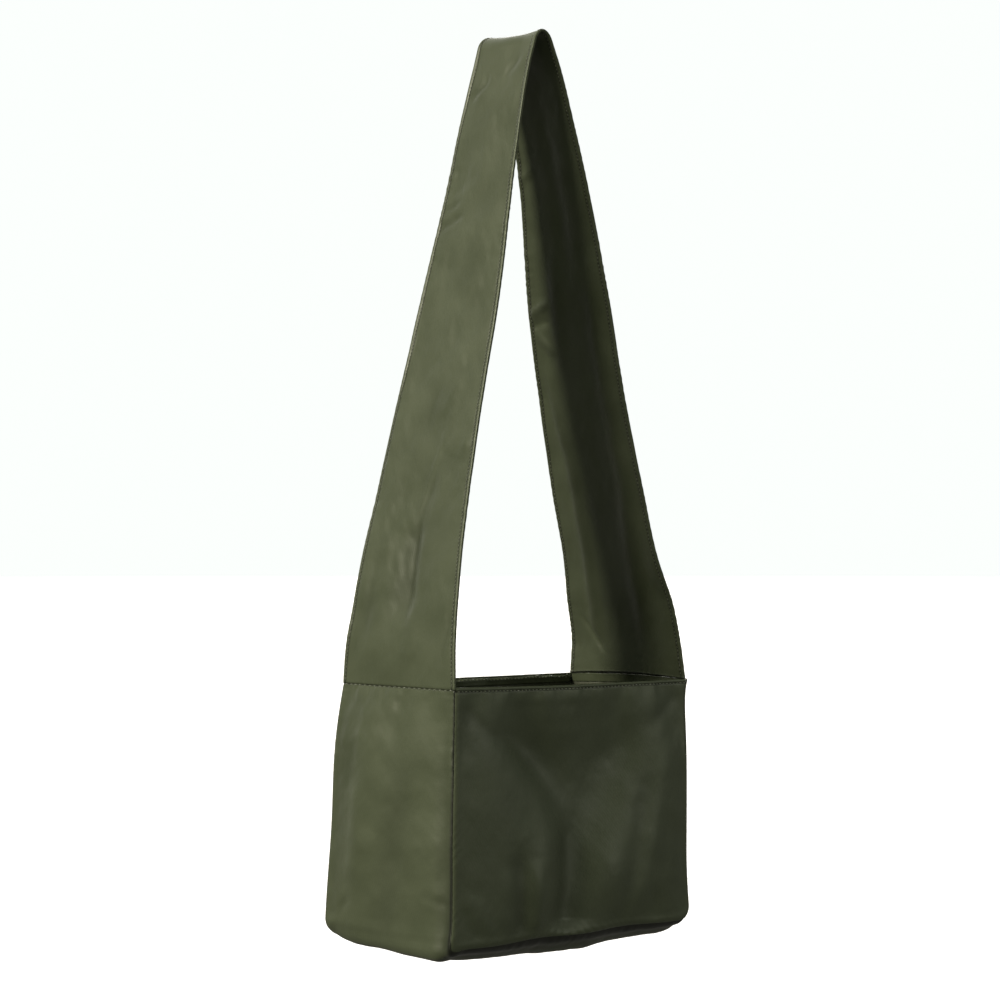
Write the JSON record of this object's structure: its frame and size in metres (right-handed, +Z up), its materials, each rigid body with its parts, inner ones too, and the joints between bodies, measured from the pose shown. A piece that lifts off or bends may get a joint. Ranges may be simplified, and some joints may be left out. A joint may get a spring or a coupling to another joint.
{
  "type": "crossbody purse",
  "caption": "Soft box-shaped satin purse with an open top, a lined inside and one wide tapered strap that hangs it from its crown.",
  "frame": {"origin": "underside of the strap at its crown, where a hook, rail or shoulder holds the purse up", "axes": "+Z up, along the hanging strap; +X across the front of the bag; the front panel faces -Y"},
  "size_m": [0.2468, 0.1479, 0.7038],
  "materials": {
    "satin": "dense olive-green satin weave with a soft sheen",
    "lining": "plain-weave lining, dark olive, dull",
    "thread": "twisted polyester sewing thread",
    "snap_metal": "dark nickel plate, satin"
  },
  "bodies": {
    "strap": {"strap_outer": "satin", "strap_inner": "satin", "strap_front_edge_stitching": "thread", "strap_back_edge_stitching": "thread"},
    "bag": {"front_panel": "satin", "back_panel": "satin", "gusset": "satin", "front_lining": "lining", "back_lining": "lining", "gusset_lining": "lining", "front_facing": "satin", "back_facing": "satin", "left_facing": "satin", "right_facing": "satin", "front_rim_stitching": "thread", "back_rim_stitching": "thread", "left_strap_seam_stitching": "thread", "right_strap_seam_stitching": "thread", "inner_pocket": "lining", "pocket_stitching": "thread", "snap_stud": "snap_metal", "snap_socket": "snap_metal"}
  },
  "joints": [
    {"name": "bag_tip", "type": "hinge", "parent": "strap", "child": "bag", "pos_m": [0, 0, -0.505], "axis": [1, 0, 0], "range_deg": [-30, 30], "deforming": ["strap_outer", "strap_inner", "strap_front_edge_stitching", "strap_back_edge_stitching"]}
  ]
}
